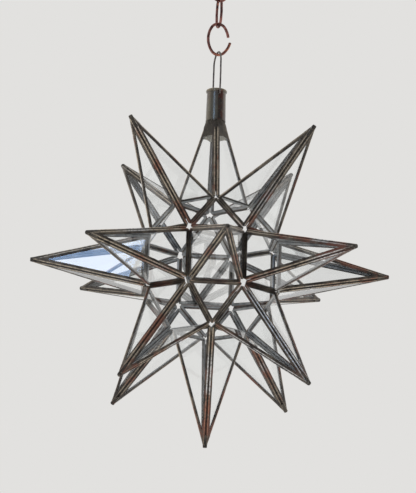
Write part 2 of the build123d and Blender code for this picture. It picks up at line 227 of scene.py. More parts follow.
def clear_glass():
    glass = Finish(bpy.data.materials.new("clear_glass"))
    place = glass.node("TexCoord", output="Object")
    drawn = glass.node("Mapping", {"Vector": place, "Scale": (1.0, 1.0, 0.35)})
    waves = glass.node("TexNoise", {"Vector": drawn, "Scale": 38.0, "Detail": 1.5, "Roughness": 0.4})
    bend = glass.node("Bump", {"Height": waves, "Strength": 0.015, "Distance": 0.002})
    # One face of glass mirrors 4% of what meets it head on, and nearly all of it edge on. The face
    # that is met first mirrors for both of a pane's faces.
    edge_on = glass.node("LayerWeight", {"Blend": 0.5, "Normal": bend}, output="Facing")
    one_face = 0.04 + 0.96 * edge_on ** 5.0
    met_first = 1.0 - glass.node("NewGeometry", output="Backfacing")
    mirrored = 2.0 * one_face / (1.0 + one_face) * met_first
    tint = glass.node("BsdfTransparent", {"Color": (0.995, 0.998, 0.998, 1)})
    shine = glass.node("BsdfGlossy", {"Roughness": 0.02, "Color": (1, 1, 1, 1), "Normal": bend})
    clear = glass.node("MixShader", {0: mirrored, 1: tint, 2: shine})
    smears = glass.node("TexNoise", {"Vector": place, "Scale": 16.0, "Detail": 5.0, "Distortion": 1.2})
    dust = 0.003 + 0.022 * smears.ramp(0.5, 0.78)
    film = glass.node("BsdfDiffuse", {"Color": colour(214, 215, 208)})
    return glass.show(glass.node("MixShader", {0: dust, 1: clear, 2: film}))


glass_material = clear_glass()
for name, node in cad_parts.items():
    if name.endswith("_glass"):
        node.data.materials.clear()
        node.data.materials.append(glass_material)


# ---- Channels of the points and the corner panes ----
# Every pane is edged with 0.3 mm tinned sheet, folded over the glass as a U, a little less wide
# inside, and mitred at the corners. Chemicals darkened it outside. Its folds are coloured lighter, partly
# as wear and partly as painted highlights, and the deep grooves between frames carry painted shade.

base_edge = 68 * mm
point_height = 158 * mm
glass_thickness = 2 * mm
sheet = 0.3 * mm
leg = 4.2 * mm
inner_leg = 3.1 * mm
fold_radius = 0.62 * mm
corner_snip = 2.6 * mm
tip_end_width = 1.1 * mm
channel = glass_thickness + 2 * sheet
half_edge = base_edge / 2
square_out = half_edge * (1 + math.sqrt(2))
slant_height = math.hypot(point_height, half_edge)
ridge_angle = math.pi - math.acos((half_edge / slant_height) ** 2)
ridge_inset = channel / math.tan(ridge_angle / 2) + 0.05 * mm
frame_corner = slant_height - ridge_inset * math.hypot(slant_height, half_edge) / half_edge
tip_slant = frame_corner - tip_end_width / 2 * slant_height / half_edge
tip_height = tip_slant * point_height / slant_height

diagonals = {"front_right": 45, "back_right": 135, "back_left": 225, "front_left": 315}
belt = {"front": 0, "right": 90, "back": 180, "left": 270, **diagonals}


def on_star(azimuth, elevation, distance, upside_down=False):
    """A place on a face of the star's core: X level along the face, Z straight out of it."""
    turn, lift = math.radians(azimuth), math.radians(elevation)
    out = Vector((math.cos(lift) * math.sin(turn), -math.cos(lift) * math.cos(turn), math.sin(lift)))
    level = Vector((math.cos(turn), math.sin(turn), 0)) * (-1 if upside_down else 1)
    axes = Matrix((level, out.cross(level), out)).transposed()
    return Matrix.Translation(star_middle + out * distance) @ axes.to_4x4()


points = {f"{side}_point": on_star(turn, 0, square_out) for side, turn in belt.items()}
for side, turn in diagonals.items():
    points[f"upper_{side}_point"] = on_star(turn, 45, square_out)
    points[f"lower_{side}_point"] = on_star(turn, -45, square_out)
points["bottom_point"] = on_star(45, -90, square_out)
top_point = on_star(45, 90, square_out)

# A point's face leans in from one side of its square base. Its own Y runs up the slope.
lean = Vector((0, half_edge, point_height)) / slant_height
facet = (Matrix.Translation((0, -half_edge, 0))
         @ Matrix((Vector((1, 0, 0)), lean, Vector((0, -lean.z, lean.y)))).transposed().to_4x4())


def inset_corners(corners, insets):
    """The corners of an outline, anticlockwise, after each side has moved in by its own inset."""
    moved = []
    for i, corner in enumerate(corners):
        last = (corner - corners[i - 1]).normalized()
        following = (corners[(i + 1) % len(corners)] - corner).normalized()
        moved.append(corner + (following * insets[i - 1] - last * insets[i]) / last.cross(following))
    return moved


def cut(bm, geometry, point, keep):
    """Cuts geometry with a plane, and keeps the side that the vector keep points to."""
    kept = bmesh.ops.bisect_plane(bm, geom=geometry, dist=1e-6, plane_co=point, plane_no=keep,
                                  clear_inner=True)
    return kept["geom"]


def everything(bm):
    return bm.verts[:] + bm.edges[:] + bm.faces[:]


def verts_of(geometry):
    return [part for part in geometry if isinstance(part, bmesh.types.BMVert)]


def ripple(place, size, depth):
    """A small smooth shift that changes over a length of about size."""
    return noise.noise_vector(place / size) * depth


def folded_strip(outline, side, cuts):
    """One U channel along a side of a frame, in the frame's own plane. Z 0 is its outer leg."""
    start, end = outline[side], outline[(side + 1) % len(outline)]
    along = (end - start).normalized().to_3d()
    inwards = Vector((-along.y, along.x, 0))
    down = Vector((0, 0, -channel))
    start, length = start.to_3d(), (end - start).length
    bm = bmesh.new()
    profile = [bm.verts.new(start + offset) for offset in
               (inwards * leg, Vector(), down, down + inwards * inner_leg)]
    edges = [bm.edges.new(pair) for pair in zip(profile, profile[1:])]
    pulled = bmesh.ops.extrude_edge_only(bm, edges=edges)["geom"]
    bmesh.ops.translate(bm, vec=along * length, verts=verts_of(pulled))
    folds = [e for e in bm.edges if len(e.link_faces) == 2]
    bmesh.ops.bevel(bm, geom=folds, offset=fold_radius, offset_type="OFFSET", segments=3, profile=0.5,
                    affect="EDGES", material=-1)
    long_edges = [e for e in bm.edges
                  if abs((e.verts[1].co - e.verts[0].co).normalized().dot(along)) > 0.99]
    bmesh.ops.subdivide_edges(bm, edges=long_edges, cuts=max(4, round(length / (9 * mm))),
                              use_grid_fill=True)
    for point, keep in cuts:
        cut(bm, everything(bm), point, keep)
    bmesh.ops.recalc_face_normals(bm, faces=bm.faces)
    middle = start + along * length / 2 + down / 2
    if sum(((f.calc_center_median() - middle - inwards * leg).dot(f.normal) * f.calc_area()
            for f in bm.faces)) < 0:
        bmesh.ops.reverse_faces(bm, faces=bm.faces)
    bmesh.ops.solidify(bm, geom=bm.faces[:], thickness=sheet)
    # Where a spot lies on the sheet: along the strip, and across it from lip to lip.
    on_sheet = bm.verts.layers.float_vector.new("on_sheet")
    for vert in bm.verts:
        offset = vert.co - start
        reach, depth = offset.dot(inwards), -offset.z
        if reach > 0.9 * mm:
            across = leg - reach if depth < channel / 2 else leg + channel + reach
        else:
            across = leg + depth
        vert[on_sheet] = (offset.dot(along), across, side)
        # The lips wander a little. The folds stay where they are.
        if reach > 1.2 * mm:
            wander = noise.noise(Vector((offset.dot(along) * 90, side * 7.3, start.x * 300)))
            vert.co += inwards * wander * 0.16 * mm * min(1, (reach / leg) ** 2)
    return bm


def mitres(outline, side, snipped):
    """The cuts at both ends of a strip: along each corner's bisector, and where a corner is snipped."""
    cuts = []
    for end, other in ((side, (side + 1) % len(outline)), ((side + 1) % len(outline), side)):
        corner = outline[end]
        bisector = ((outline[end - 1] - corner).normalized()
                    + (outline[(end + 1) % len(outline)] - corner).normalized()).normalized()
        across = Vector((-bisector.y, bisector.x))
        if across.dot(outline[other] - corner) < 0:
            across = -across
        cuts.append((corner.to_3d(), across.to_3d()))
        if end in snipped:
            cuts.append(((corner + bisector * corner_snip).to_3d(), bisector.to_3d()))
    return cuts


def add_to(whole, part, place):
    """Puts a copy of one small mesh into a larger one, at its place."""
    part.transform(place)
    mesh = bpy.data.meshes.new("part")
    part.to_mesh(mesh)
    part.free()
    whole.from_mesh(mesh)
    bpy.data.meshes.remove(mesh)


def new_piece(bm, name, material, body, replaced=(), crease=42):
    """Makes a finished mesh into a piece that rides on a body and stands for the CAD nodes."""
    mesh = bpy.data.meshes.new(name)
    bm.to_mesh(mesh)
    bm.free()
    for one in material if isinstance(material, tuple) else (material,):
        mesh.materials.append(one)
    mesh.shade_smooth()
    mesh.set_sharp_from_angle(angle=math.radians(crease))
    piece = bpy.data.objects.new(name, mesh)
    scene.collection.objects.link(piece)
    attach(piece, body)
    if replaced:
        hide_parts(*replaced)


def aged_sheet(name, dark, olive, copper, rubbed_and_highlit, folds=True, metallic=0.45):
    """Darkened sheet: grey and olive patches, coppery stains, and places rubbed lighter.

    With folds, it is for channels: lighter along their folds, partly rubbed and partly painted highlight,
    painted shade deep in the grooves, and tin inside.
    """
    metal = Finish(bpy.data.materials.new(name))
    place = metal.node("TexCoord", output="Object")
    patches = metal.node("TexNoise", {"Vector": place, "Scale": 55.0, "Detail": 4.0, "Roughness": 0.6})
    stains = metal.node("TexNoise", {"Vector": place, "Scale": 24.0, "Detail": 5.0, "Roughness": 0.65})
    grain = metal.node("TexNoise", {"Vector": place, "Scale": 420.0, "Detail": 3.0})
    skin = patches.ramp(0.42, 0.62).colours(dark, olive)
    # The torch turned the sheet coppery at the tips low and to the right. The others stayed dark.
    aside, depth, height = (metal.node("SeparateXYZ", {0: place}, output=axis) for axis in (0, 1, 2))
    from_middle = metal.node("VectorMath", {0: place, 1: star_middle}, output=1, operation="DISTANCE")
    low_right = (aside - height).ramp(-80 * mm - star_middle.z, 60 * mm - star_middle.z)
    stains = stains + (0.19 * low_right - 0.14) * from_middle.ramp(120 * mm, 200 * mm)
    skin = (stains.ramp(0.53, 0.66) * 0.85).colours(skin, copper)
    if folds:
        on_sheet = metal.node("Attribute", output="Vector", attribute_name="on_sheet",
                              attribute_type="GEOMETRY")
        across = metal.node("SeparateXYZ", {0: on_sheet}, output=1)
        # Less than 0 in the groove between two frames.
        past_fold = abs(across - (leg + channel / 2)) - channel / 2
        # The folds are coloured lighter: partly rubbed through the dark skin, partly a painted highlight
        # along the rounded bends.
        wear_and_highlight = past_fold.ramp(1.1 * mm, 0.0) * past_fold.ramp(-1.3 * mm, -0.5 * mm)
        wear_and_highlight = wear_and_highlight * (0.4 + 0.6 * grain.ramp(0.36, 0.56)) * patches.ramp(0.24, 0.44)
        # Under the neck the folds get neither the rubbed colour nor the painted highlight. At the upper
        # right, at the back and at the coppery tips they get less of both.
        under_neck = height.ramp(star_middle.z + 186 * mm, star_middle.z + 176 * mm)
        upper_right = (height.ramp(star_middle.z + 10 * mm, star_middle.z + 90 * mm)
                       * aside.ramp(0.0, 50 * mm))
        at_back = depth.ramp(0.0, 70 * mm)
        coppery_tip = low_right * from_middle.ramp(190 * mm, 222 * mm)
        wear_and_highlight = wear_and_highlight * under_neck * (1.0 - 0.5 * upper_right)
        wear_and_highlight = wear_and_highlight * (1.0 - 0.5 * at_back) * (1.0 - 0.4 * coppery_tip)
        # Painted shade: deep in the groove between two frames the sheet is coloured near-black.
        skin = past_fold.ramp(-0.6 * mm, -1.2 * mm).colours(skin, colour(18, 15, 13))
        rubbed_and_highlit = stains.ramp(0.46, 0.6).colours(rubbed_and_highlit, colour(176, 128, 108))
        # Painted glints: random spots where the folds are coloured near-white.
        glint_spots = metal.node("TexNoise", {"Vector": place, "Scale": 13.0, "Detail": 1.0})
        glint_spots = glint_spots.ramp(0.58, 0.68)
        # Painted highlight: the folds over the lower right point at the front are coloured near-white as
        # well.
        glint_place = star_middle + Vector((76, -99, -102)) * mm
        glint_patch = metal.node("VectorMath", {0: place, 1: glint_place}, output=1,
                             operation="DISTANCE").ramp(84 * mm, 58 * mm)
        rubbed_and_highlit = glint_spots.larger(glint_patch).colours(rubbed_and_highlit, colour(236, 234, 232))
        # The chemicals never reached the legs inside the star. They are dull tin.
        inside = across.ramp(leg + 0.85 * channel, leg + 1.1 * channel)
        tin = patches.ramp(0.38, 0.62).colours(colour(146, 149, 152), colour(200, 201, 201))
        wear_and_highlight = wear_and_highlight * (1.0 - inside)
    else:
        wear_and_highlight = grain.ramp(0.56, 0.7) * 0.5
    skin = wear_and_highlight.colours(skin, rubbed_and_highlit)
    rough = 0.34 + 0.26 * grain - 0.16 * wear_and_highlight
    shine = metallic + 0.4 * wear_and_highlight
    if folds:
        skin = inside.colours(skin, tin)
        rough = rough + 0.06 * inside
        shine = shine.larger(0.95 * inside)
    dents = metal.node("Bump", {"Height": grain * 0.4 + patches, "Strength": 0.35, "Distance": 0.0004})
    return metal.show(metal.node("BsdfPrincipled", {
        "Base Color": skin, "Roughness": rough, "Metallic": shine, "Normal": dents}))


came_metal = aged_sheet("aged_sheet", colour(55, 49, 45), colour(100, 92, 82), colour(112, 72, 60),
                        colour(208, 193, 172))

point_outline = [Vector((-half_edge, 0)), Vector((half_edge, 0)), Vector((0, slant_height))]
point_frame = inset_corners(point_outline, [0, ridge_inset, ridge_inset])


def mesh_for_strips():
    whole = bmesh.new()
    whole.verts.layers.float_vector.new("on_sheet")
    return whole


def dent_strips(whole):
    """Long slow bends and short dents, as hand folding leaves them."""
    for vert in whole.verts:
        vert.co += ripple(vert.co, 34 * mm, 0.16 * mm) + ripple(vert.co, 9 * mm, 0.06 * mm)


def point_channels(place, top):
    """The twelve strips of one point, cut off level at a height over its base."""
    whole = mesh_for_strips()
    level = facet.inverted() @ Vector((0, 0, top))
    downwards = (facet.inverted().to_3x3() @ Vector((0, 0, -1))).normalized()
    for quarter in range(4):
        for side in range(3):
            cuts = mitres(point_frame, side, (0, 1)) + [(level, downwards)]
            add_to(whole, folded_strip(point_frame, side, cuts),
                   place @ Matrix.Rotation(math.radians(90 * quarter), 4, "Z") @ facet)
    dent_strips(whole)
    return whole


for name, place in points.items():
    new_piece(point_channels(place, tip_height), f"{name}_channels", came_metal, "star",
              [f"{name}_came"])

triangle_height = base_edge * math.sqrt(3) / 2
triangle_out = base_edge * (3 + math.sqrt(2)) / (2 * math.sqrt(3))
triangle_lift = math.degrees(math.atan(1 / math.sqrt(2)))
corner_frame = [Vector((-half_edge, -triangle_height / 3)), Vector((half_edge, -triangle_height / 3)),
                Vector((0, triangle_height * 2 / 3))]
for level, lift, upside_down in (("upper", triangle_lift, False), ("lower", -triangle_lift, True)):
    whole = mesh_for_strips()
    for turn in (0, 90, 180, 270):
        for side in range(3):
            add_to(whole, folded_strip(corner_frame, side, mitres(corner_frame, side, (0, 1, 2))),
                   on_star(turn, lift, triangle_out, upside_down))
    dent_strips(whole)
    new_piece(whole, f"{level}_corner_channels", came_metal, "star", [f"{level}_corner_came"])

tube_foot = 112.337 * mm
frame_insertion = 3 * mm
new_piece(point_channels(top_point, tube_foot + frame_insertion), "top_point_channels", came_metal,
          "star", ["top_point_came"])


# ---- Solder at the corners of the frames ----
# The cut-back ends of the strips are held together at every corner with a blob of soft solder,
# wiped flat and blackened with the rest.

solder_skin = aged_sheet("dark_solder", colour(50, 46, 42), colour(86, 81, 73), colour(90, 58, 48),
                         colour(166, 157, 144), folds=False)
quarters = [Matrix.Rotation(math.radians(90 * quarter), 4, "Z") for quarter in range(4)]
thirds = [Matrix.Rotation(math.radians(120 * third), 4, "Z") for third in range(3)]
point_faces = [place @ quarter @ facet for place in (*points.values(), top_point) for quarter in quarters]
corner_faces = [on_star(turn, lift, triangle_out, lift < 0)
                for turn in (0, 90, 180, 270) for lift in (triangle_lift, -triangle_lift)]

blob_size = Vector((2.2, 1.35, 0.42)) * mm
blob_inset = 4.2 * mm
whole = bmesh.new()
for places, outline, snipped in ((point_faces, point_frame, 2), (corner_faces, corner_frame, 3)):
    for place in places:
        for corner in range(snipped):
            spot = outline[corner]
            bisector = ((outline[corner - 1] - spot).normalized()
                        + (outline[(corner + 1) % 3] - spot).normalized()).normalized()
            blob = bmesh.new()
            bmesh.ops.create_icosphere(blob, subdivisions=2, radius=1.0)
            bmesh.ops.scale(blob, verts=blob.verts, vec=blob_size)
            bmesh.ops.rotate(blob, verts=blob.verts,
                             matrix=Matrix.Rotation(math.atan2(bisector.y, bisector.x), 3, "Z"))
            bmesh.ops.translate(blob, verts=blob.verts, vec=(spot + bisector * blob_inset).to_3d())
            add_to(whole, blob, place)
for vert in whole.verts:
    vert.co += ripple(vert.co, 2.2 * mm, 0.35 * mm)
new_piece(whole, "corner_solder", solder_skin, "star", crease=80)


# ---- Solder along the seams ----
# A bead joins the frames along each edge of the star's core. It fills the bottom of the groove
# between them. Two seams at the right of the front point are run only part of the way.

def bead(start, end, corners):
    """A run of solder with a small section, uneven along its length and thin at both ends."""
    taper = 5 * mm
    bm = bmesh.new()
    along = (end - start).normalized()
    length = (end - start).length
    section = bm.faces.new([bm.verts.new(start + corner) for corner in corners])
    pulled = bmesh.ops.extrude_face_region(bm, geom=[section])["geom"]
    bmesh.ops.translate(bm, vec=end - start, verts=verts_of(pulled))
    long_edges = [e for e in bm.edges if abs((e.verts[1].co - e.verts[0].co).dot(along)) > length / 2]
    bmesh.ops.subdivide_edges(bm, edges=long_edges, cuts=max(5, round(length / (2.2 * mm))))
    for vert in bm.verts:
        travelled = (vert.co - start).dot(along)
        middle = start + along * travelled
        from_end = min(travelled, length - travelled) / taper
        thickness = 0.3 + 0.7 * math.sqrt(max(0, min(1, from_end)))
        thickness *= 1 + 0.22 * noise.noise(vert.co / (3.5 * mm))
        vert.co = middle + (vert.co - middle) * thickness
    bmesh.ops.recalc_face_normals(bm, faces=bm.faces)
    return bm


seam_edges = list(point_faces)
seam_edges += [place @ third @ Matrix.Translation((0, -triangle_height / 3, 0))
               for place in corner_faces for third in thirds]
right_end = Vector((half_edge, -square_out, half_edge))
unfilled = ((right_end, 27 * mm), (right_end * Vector((1, 1, -1)), 14 * mm))
seam_stop = 4.6 * mm
seam_reach, seam_depth = 0.95 * mm, 2 * mm
whole = bmesh.new()
for one, other in combinations(seam_edges, 2):
    middle = one.translation
    if (middle - other.translation).length > 1 * mm:
        continue
    along = one.col[0].to_3d()
    ends = []
    for way in (-1, 1):
        corner = middle + along * half_edge * way
        stop = seam_stop
        from_star = middle - star_middle
        if 0 < from_star.x < half_edge - 1 * mm and from_star.y < -half_edge:
            for corner_place, gap in unfilled:
                if (corner - star_middle - corner_place).length < 1 * mm:
                    stop = gap
        ends.append(corner - along * way * stop)
    corners = [one.col[1].to_3d() * seam_reach, other.col[1].to_3d() * seam_reach,
               -other.col[2].to_3d() * seam_depth, -one.col[2].to_3d() * seam_depth]
    add_to(whole, bead(*ends, corners), Matrix.Identity(4))
# Near-black: blackened solder, darkened further as painted shade, since these beads lie deep in the
# grooves.
solder_and_groove_shade = aged_sheet("solder_and_groove_shade", colour(24, 21, 19), colour(52, 47, 42), colour(74, 44, 34),
                          colour(112, 102, 90), folds=False)
new_piece(whole, "seam_beads", solder_and_groove_shade, "star", ["seam_solder"], crease=80)

ridge_out = Vector((1, 1, 0)).normalized()
ridge_aside = Vector((-1, 1, 0)).normalized()
ridge_rise = Vector((-half_edge, -half_edge, point_height)).normalized()
ridge_crown = ridge_aside.cross(ridge_rise).normalized()
if ridge_crown.dot(ridge_out) < 0:
    ridge_crown.negate()


def ridge_bead(low, high, crown, half_width, deep):
    """Solder in the groove between two faces of a point, from one height over its base to another.

    Crown and deep are how far under the ridge its top and its widest line lie.
    """
    bottom = 4.3 * mm
    middle = (crown + bottom) / 2
    start, end = (Vector((half_edge, half_edge, 0)) * (1 - height / point_height) + Vector((0, 0, height))
                  - ridge_crown * middle for height in (low, high))
    edge = ridge_crown * (middle - deep)
    return bead(start, end, [ridge_crown * (middle - crown), edge + ridge_aside * half_width,
                             ridge_crown * (middle - bottom), edge - ridge_aside * half_width])


whole = bmesh.new()
for place, top in [*((place, tip_height - 6 * mm) for place in points.values()),
                   (top_point, tube_foot - 4 * mm)]:
    for quarter in quarters:
        add_to(whole, ridge_bead(9 * mm, top, crown=3.0 * mm, half_width=0.75 * mm, deep=3.05 * mm),
               place @ quarter)
new_piece(whole, "ridge_beads", solder_and_groove_shade, "star", crease=80)


# ---- Solder at the tips ----
# Every point but the top one is sawn off blunt. The four frames are held there with a plug of
# solder that was run down inside them, and that shows in the grooves of the last 12 mm.

def pull_loop(bm, edges):
    """Pulls a new loop out of a loop of edges. Gives its corners and its edges."""
    pulled = bmesh.ops.extrude_edge_only(bm, edges=edges)["geom"]
    verts = verts_of(pulled)
    return verts, [part for part in pulled if isinstance(part, bmesh.types.BMEdge)
                   and all(vert in verts for vert in part.verts)]


slope = half_edge / point_height
plug_depth, plug_length, plug_loops = 12 * mm, 15.3 * mm, 10
whole = bmesh.new()
for place in points.values():
    plug = bmesh.new()
    bmesh.ops.create_circle(plug, cap_ends=False, segments=8, radius=1,
                            matrix=Matrix.Rotation(math.radians(22.5), 4, "Z"))
    edges = plug.edges[:]
    for _ in range(plug_loops):
        verts, edges = pull_loop(plug, edges)
        bmesh.ops.translate(plug, verts=verts, vec=(0, 0, 1))
    bmesh.ops.holes_fill(plug, edges=[e for e in plug.edges if e.is_boundary])
    for vert in plug.verts:
        share = vert.co.z / plug_loops
        height = tip_height - plug_depth + share * plug_length
        half_width = (point_height - height) * slope - 0.12 * mm
        snip = 2.5 * mm - 1.4 * mm * max(0, share - 0.75) * 4
        across = Vector((vert.co.x, vert.co.y))
        sides = [math.copysign(half_width if abs(side) > 0.7 else max(0, half_width - snip), side)
                 for side in across]
        vert.co = Vector((*sides, height))
    bmesh.ops.recalc_face_normals(plug, faces=plug.faces)
    highest = max(v.co.z for v in plug.verts) - 0.01 * mm
    rim = [e for e in plug.edges if min(v.co.z for v in e.verts) > highest]
    bmesh.ops.bevel(plug, geom=rim, offset=0.5 * mm, offset_type="OFFSET", segments=2, profile=0.5,
                    affect="EDGES", material=-1)
    add_to(whole, plug, place)
for vert in whole.verts:
    vert.co += ripple(vert.co, 2.5 * mm, 0.15 * mm)
new_piece(whole, "tip_plugs", solder_skin, "star", ["tip_solder"], crease=60)


# ---- Skirt panels under the neck ----
# Four panels of the same sheet close the top point under the tube, over the upper edge of its
# glass. Each is two thicknesses, with a hollowed lower edge. Inside, the tin is still pale.

inner_frame = inset_corners(point_outline, [leg, ridge_inset + leg, ridge_inset + leg])
narrowing = inner_frame[1].x / (inner_frame[2].y - inner_frame[1].y)
skirt_height, skirt_hollow = 23 * mm, 1.2 * mm
skirt_foot = (tube_foot - skirt_height) * slant_height / point_height
skirt_top = (tube_foot + frame_insertion) * slant_height / point_height
skirt_metal = aged_sheet("skirt_sheet", colour(60, 55, 49), colour(86, 80, 70), colour(88, 54, 44),
                         colour(124, 114, 100), folds=False)
pale_tin = aged_sheet("pale_tin", colour(206, 201, 188), colour(226, 222, 210), colour(196, 178, 156),
                      colour(236, 232, 222), folds=False, metallic=0.1)
for name, depth, metal in (("neck_skirt_panels", 0.1 * mm, skirt_metal),
                           ("neck_skirt_lining", channel - sheet - 0.1 * mm, pale_tin)):
    whole = bmesh.new()
    for quarter in quarters:
        panel = bmesh.new()
        bmesh.ops.create_grid(panel, x_segments=10, y_segments=12, size=1)
        for vert in panel.verts:
            across, rise = vert.co.x, (vert.co.y + 1) / 2
            foot = skirt_foot + skirt_hollow * (1 - across**2)
            up_slope = foot + (skirt_top - foot) * rise
            vert.co = Vector((across * narrowing * (inner_frame[2].y - up_slope), up_slope, -depth))
            vert.co.z += 0.12 * mm * noise.noise(vert.co / (9 * mm)) * (1 - across**2)
        bmesh.ops.solidify(panel, geom=panel.faces[:], thickness=sheet)
        add_to(whole, panel, top_point @ quarter @ facet)
    new_piece(whole, name, metal, "star", ["neck_skirt"])


# ---- Neck tube ----
# A tube 25 mm across, rolled from 0.6 mm sheet and a little narrower at its top, where it is
# turned outwards over a wire as a rim. Two holes 8 mm under the rim take the ends of the bail.

neck_foot = Vector((0, 0, star_middle.z + square_out + tube_foot))
bail_turn = 12.5
hole_radius, hole_height = 1.2 * mm, 34.6 * mm
tube_radius, tube_sheet = 12.9 * mm, 0.6 * mm
outer_wall = [((12.9 - 0.6 * height / 38.6) * mm, height * mm)
              for height in (0, 5.5, 11, 16.5, 22, 27.5, 32.9, 34.6, 36.3, 38.4)]
rolled_rim = [(12.35 * mm + 1.35 * mm * math.cos(math.radians(angle)),
               40.5 * mm + 2.0 * mm * math.sin(math.radians(angle))) for angle in range(-72, 91, 18)]
inner_wall = [(radius - tube_sheet, height) for radius, height in reversed(outer_wall)]
bm = bmesh.new()
profile = [bm.verts.new((0, -radius, height))
           for radius, height in [*outer_wall, *rolled_rim, (11.75 * mm, 41.9 * mm), *inner_wall]]
for pair in zip(profile, profile[1:] + profile[:1]):
    bm.edges.new(pair)
bmesh.ops.spin(bm, geom=everything(bm), cent=(0, 0, 0), axis=(0, 0, 1), angle=math.tau, steps=48,
               use_merge=True)
bmesh.ops.remove_doubles(bm, verts=bm.verts, dist=0.001 * mm)
bmesh.ops.recalc_face_normals(bm, faces=bm.faces)
for way in (-1, 1):
    rims = []
    for radius, height in (outer_wall[7], inner_wall[2]):
        middle = Vector((0, radius * way, height))
        centre = min(bm.verts, key=lambda v: (v.co - middle).length)
        patch = bmesh.ops.dissolve_faces(bm, faces=centre.link_faces[:])["region"][0]
        bmesh.ops.inset_individual(bm, faces=[patch], thickness=0.25 * mm)
        bmesh.ops.subdivide_edges(bm, edges=patch.edges[:], cuts=1)
        for vert in patch.verts:
            turn = math.atan2(vert.co.z - height, vert.co.x)
            side, rise = hole_radius * math.cos(turn), hole_radius * math.sin(turn)
            vert.co = Vector((side, way * math.sqrt(radius**2 - side**2), height + rise))
        rims += patch.edges[:]
        bmesh.ops.delete(bm, geom=[patch], context="FACES_ONLY")
    bmesh.ops.bridge_loops(bm, edges=rims)
bmesh.ops.rotate(bm, verts=bm.verts, matrix=Matrix.Rotation(math.radians(bail_turn), 3, "Z"))
bm.normal_update()
for face in bm.faces:
    middle = face.calc_center_median()
    faces_in = face.normal.dot(Vector((middle.x, middle.y, 0))) < 0
    face.material_index = int(faces_in and middle.z < 41 * mm)
bmesh.ops.translate(bm, verts=bm.verts, vec=neck_foot)
# The sheet stays true round the holes, where the ends of the bail turn with 0.1 mm to spare.
hole_line = Vector((math.sin(math.radians(bail_turn)), -math.cos(math.radians(bail_turn)), 0))
for vert in bm.verts:
    past_hole = (vert.co - neck_foot - Vector((0, 0, hole_height))).cross(hole_line).length - 2 * mm
    vert.co += ripple(vert.co, 13 * mm, 0.12 * mm) * min(1, max(0, past_hole / (7 * mm)))


def tube_finish():
    """The tube's skin: sheet that was polished before it was darkened, with flux burns by its seam and a
    light tan rim top that is partly wear and partly a painted highlight.
    """
    metal = Finish(bpy.data.materials.new("tube_sheet"))
    place = metal.node("TexCoord", output="Object")
    x, y, z = (metal.node("SeparateXYZ", {0: place}, output=axis) for axis in (0, 1, 2))
    drawn = metal.node("Mapping", {"Vector": place, "Scale": (1.0, 1.0, 0.55)})
    patches = metal.node("TexNoise", {"Vector": drawn, "Scale": 75.0, "Detail": 4.0, "Roughness": 0.6})
    stains = metal.node("TexNoise", {"Vector": drawn, "Scale": 130.0, "Detail": 4.0, "Roughness": 0.65})
    grain = metal.node("TexNoise", {"Vector": place, "Scale": 420.0, "Detail": 3.0})
    skin = patches.ramp(0.4, 0.6).colours(colour(96, 90, 87), colour(120, 116, 104))
    by_seam = x.ramp(0.5 * mm, 2.0 * mm) * x.ramp(9 * mm, 6.5 * mm) * y.ramp(-5 * mm, -8 * mm)
    skin = (by_seam * 0.75).colours(skin, colour(62, 52, 46))
    burnt = (stains.ramp(0.4, 0.56) * (0.2 + 0.8 * by_seam)).larger(stains.ramp(0.62, 0.72))
    skin = (burnt * 0.8).colours(skin, colour(96, 50, 40))
    # Painted highlight, partly wear: the top of the rim is coloured light tan.
    rim_top = z.ramp(neck_foot.z + 39.2 * mm, neck_foot.z + 41.0 * mm)
    rubbed_and_highlit = (grain.ramp(0.56, 0.7) * 0.4).larger(rim_top * (0.4 + 0.6 * stains.ramp(0.4, 0.55)))
    skin = rubbed_and_highlit.colours(skin, colour(156, 142, 120))
    rough = 0.26 + 0.1 * grain + 0.14 * burnt
    dents = metal.node("Bump", {"Height": grain * 0.3 + patches, "Strength": 0.05, "Distance": 0.0004})
    return metal.show(metal.node("BsdfPrincipled", {
        "Base Color": skin, "Roughness": rough, "Metallic": 0.85, "Coat Weight": 0.5,
        "Coat Roughness": 0.18, "Normal": dents}))


new_piece(bm, "rolled_neck_tube", (tube_finish(), pale_tin), "star", ["neck_tube"], crease=50)


# ---- Solder round the neck ----
# The tube sits over the top point's frames. A fillet of solder closes the overhang between its
# round foot and the four flat panels, and fills the first 10 mm of the grooves under it.

bm = bmesh.new()
bmesh.ops.create_circle(bm, cap_ends=False, segments=96, radius=1)
loops = [bm.verts[:]]
first = edges = bm.edges[:]
for level in range(4):
    verts, edges = pull_loop(bm, edges)
    loops.append(verts)
half_width = (point_height - tube_foot) * slope
lean_in = 0.24
notch_depth, notch_reach = 1.6 * mm, math.radians(13)
for level, loop in enumerate(loops):
    for vert in loop:
        turn = math.atan2(vert.co.y, vert.co.x)
        off_middle = math.radians(math.degrees(turn) % 90 - 45)
        flat = half_width / math.cos(off_middle)
        drop = max(0.4 * mm, (tube_radius - flat) / (lean_in + slope / math.cos(off_middle)))
        drop *= 1 + 0.12 * noise.noise(Vector((turn * 2.2, 3.1, 0)))
        # The solder never ran right across the middle of a panel, and leaves a dark notch there.
        notch = notch_depth * max(0, 1 - (off_middle / notch_reach) ** 2)
        radius, height = ((12.95 * mm - notch, 0.8 * mm),
                          (tube_radius - 0.25 * notch - 0.05 * drop, -0.2 * drop),
                          (12.95 * mm - 0.15 * drop, -0.55 * drop),
                          (12.85 * mm - lean_in * drop, -drop),
                          (10.6 * mm - lean_in * drop, 1.2 * mm))[level]
        vert.co = Vector((math.cos(turn) * radius, math.sin(turn) * radius, height))
bmesh.ops.bridge_loops(bm, edges=first + edges)
bmesh.ops.recalc_face_normals(bm, faces=bm.faces)
bmesh.ops.translate(bm, verts=bm.verts, vec=neck_foot)
for quarter in quarters:
    add_to(bm, ridge_bead(tube_foot - 11 * mm, tube_foot + 2.5 * mm, crown=1.3 * mm, half_width=2.3 * mm,
                          deep=2.05 * mm), top_point @ quarter)
